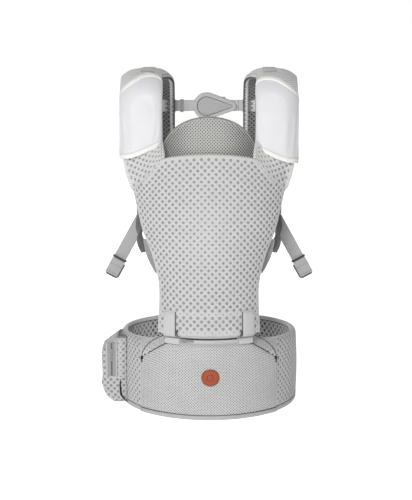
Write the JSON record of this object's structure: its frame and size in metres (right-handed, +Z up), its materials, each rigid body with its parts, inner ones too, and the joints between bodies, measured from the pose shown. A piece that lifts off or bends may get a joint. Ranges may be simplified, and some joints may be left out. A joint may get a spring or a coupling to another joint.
{
  "type": "soft baby carrier",
  "caption": "Soft hip-seat baby carrier with padded waist belt, mesh front panel, headrest, shoulder straps and cross strap.",
  "frame": {"origin": "middle of the footprint, on the plane that the belt and seat stand on", "axes": "+Z up, -Y towards the outside of the carrier (the side that faces away from the wearer), +X to the right when it is looked at from the outside"},
  "size_m": [0.379, 0.3055, 0.5971],
  "materials": {
    "seat_mesh": "fine air mesh",
    "foam": "closed-cell foam",
    "cover_fabric": "plain weave",
    "board": "satin",
    "leather": "smooth tanned leather",
    "belt_mesh": "open air mesh",
    "binding": "ribbed tape",
    "webbing": "ribbed webbing",
    "elastic": "ribbed elastic",
    "buckle_plastic": "satin moulded",
    "zip_tape": "woven tape",
    "zip_slider": "satin paint",
    "panel_mesh": "open air mesh",
    "lining": "plain weave",
    "headrest_mesh": "fine air mesh",
    "strap_mesh": "open air mesh",
    "white_satin": "smooth satin",
    "piping": "plain binding",
    "twill": "diagonal twill"
  },
  "bodies": {
    "seat": {"seat_front_cover": "seat_mesh", "seat_core": "foam", "seat_top_pad": "cover_fabric", "seat_base_board": "board", "belly_pad": "cover_fabric", "leather_badge": "leather", "seat_corner_tab_left": "cover_fabric", "seat_corner_tab_right": "cover_fabric", "seat_zip_tape_lower": "zip_tape"},
    "seat_zip": {"seat_zip_slider": "zip_slider"},
    "wing_left": {"belt_wing_left": "belt_mesh", "belt_binding_top_left": "binding", "belt_binding_bottom_left": "binding", "waist_webbing_left": "webbing", "waist_buckle_plug": "buckle_plastic", "side_pocket": "belt_mesh", "pocket_zip_tape": "zip_tape"},
    "wing_right": {"belt_wing_right": "belt_mesh", "belt_binding_top_right": "binding", "belt_binding_bottom_right": "binding", "waist_webbing_right": "webbing", "waist_buckle_socket": "buckle_plastic"},
    "pocket_zip": {"pocket_zip_slider": "zip_slider"},
    "panel": {"panel_mesh": "panel_mesh", "panel_lining": "lining", "seat_zip_tape_upper": "zip_tape", "panel_corner_tab_left": "webbing", "panel_corner_tab_right": "webbing", "panel_gusset_left": "cover_fabric", "panel_gusset_right": "cover_fabric", "shoulder_strap_left": "strap_mesh", "shoulder_strap_right": "strap_mesh", "drool_pad_left": "white_satin", "drool_pad_right": "white_satin", "strap_top_tab_left": "webbing", "strap_top_tab_right": "webbing", "strap_tongue_left": "webbing", "strap_tongue_right": "webbing", "ladder_lock_left": "buckle_plastic", "ladder_lock_right": "buckle_plastic", "adjuster_webbing_left": "webbing", "adjuster_webbing_right": "webbing"},
    "headrest": {"headrest": "headrest_mesh"},
    "tail_left": {"adjuster_tail_left": "webbing", "tail_fold_left": "webbing"},
    "tail_right": {"adjuster_tail_right": "webbing", "tail_fold_right": "webbing"},
    "keeper_left": {"tail_keeper_left": "elastic"},
    "keeper_right": {"tail_keeper_right": "elastic"},
    "cross_strap": {"cross_loop_left": "webbing", "cross_loop_right": "webbing", "cross_webbing_left": "webbing", "cross_webbing_right": "webbing", "cross_slider": "buckle_plastic", "cross_cover_rim": "piping", "cross_cover_insert": "twill", "cross_buckle_socket": "buckle_plastic"},
    "cross_plug": {"cross_buckle_plug": "buckle_plastic"}
  },
  "joints": [
    {"name": "wing_left_fold", "type": "hinge", "parent": "seat", "child": "wing_left", "pos_m": [-0.11825, -0.081, 0.064], "axis": [0, 0, 1], "range_deg": [0, 60]},
    {"name": "wing_right_fold", "type": "hinge", "parent": "seat", "child": "wing_right", "pos_m": [0.11825, -0.081, 0.064], "axis": [0, 0, -1], "range_deg": [0, 60]},
    {"name": "panel_fold", "type": "hinge", "parent": "seat", "child": "panel", "pos_m": [0, -0.156, 0.146], "axis": [1, 0, 0], "range_deg": [0, 100]},
    {"name": "headrest_fold", "type": "hinge", "parent": "panel", "child": "headrest", "pos_m": [0, -0.1, 0.447], "axis": [-1, 0, 0], "range_deg": [0, 80]},
    {"name": "cross_height", "type": "slide", "parent": "panel", "child": "cross_strap", "axis": [0, -0.1118, 0.9937], "range_m": [-0.06, 0]},
    {"name": "cross_buckle_release", "type": "slide", "parent": "cross_strap", "child": "cross_plug", "axis": [-1, 0, 0], "range_m": [0, 0.02]},
    {"name": "seat_zip_run", "type": "hinge", "parent": "seat", "child": "seat_zip", "pos_m": [0, -0.022, 0.142], "axis": [0, 0, 1], "range_deg": [0, 32]},
    {"name": "pocket_zip_run", "type": "slide", "parent": "wing_left", "child": "pocket_zip", "axis": [0, 0, -1], "range_m": [0, 0.04]},
    {"name": "tail_left_swing", "type": "hinge", "parent": "panel", "child": "tail_left", "pos_m": [-0.117, 0.007, 0.335], "axis": [-0.8767, 0, 0.4811], "range_deg": [-30, 45]},
    {"name": "tail_right_swing", "type": "hinge", "parent": "panel", "child": "tail_right", "pos_m": [0.117, 0.007, 0.335], "axis": [-0.8767, 0, -0.4811], "range_deg": [-30, 45]},
    {"name": "keeper_left_slide", "type": "slide", "parent": "tail_left", "child": "keeper_left", "axis": [0.4811, 0, 0.8767], "range_m": [0, 0.05]},
    {"name": "keeper_right_slide", "type": "slide", "parent": "tail_right", "child": "keeper_right", "axis": [-0.4811, 0, 0.8767], "range_m": [0, 0.05]}
  ],
  "couplings": [
    {"joint": "wing_right_fold", "follows": "wing_left_fold", "ratio": 1}
  ]
}
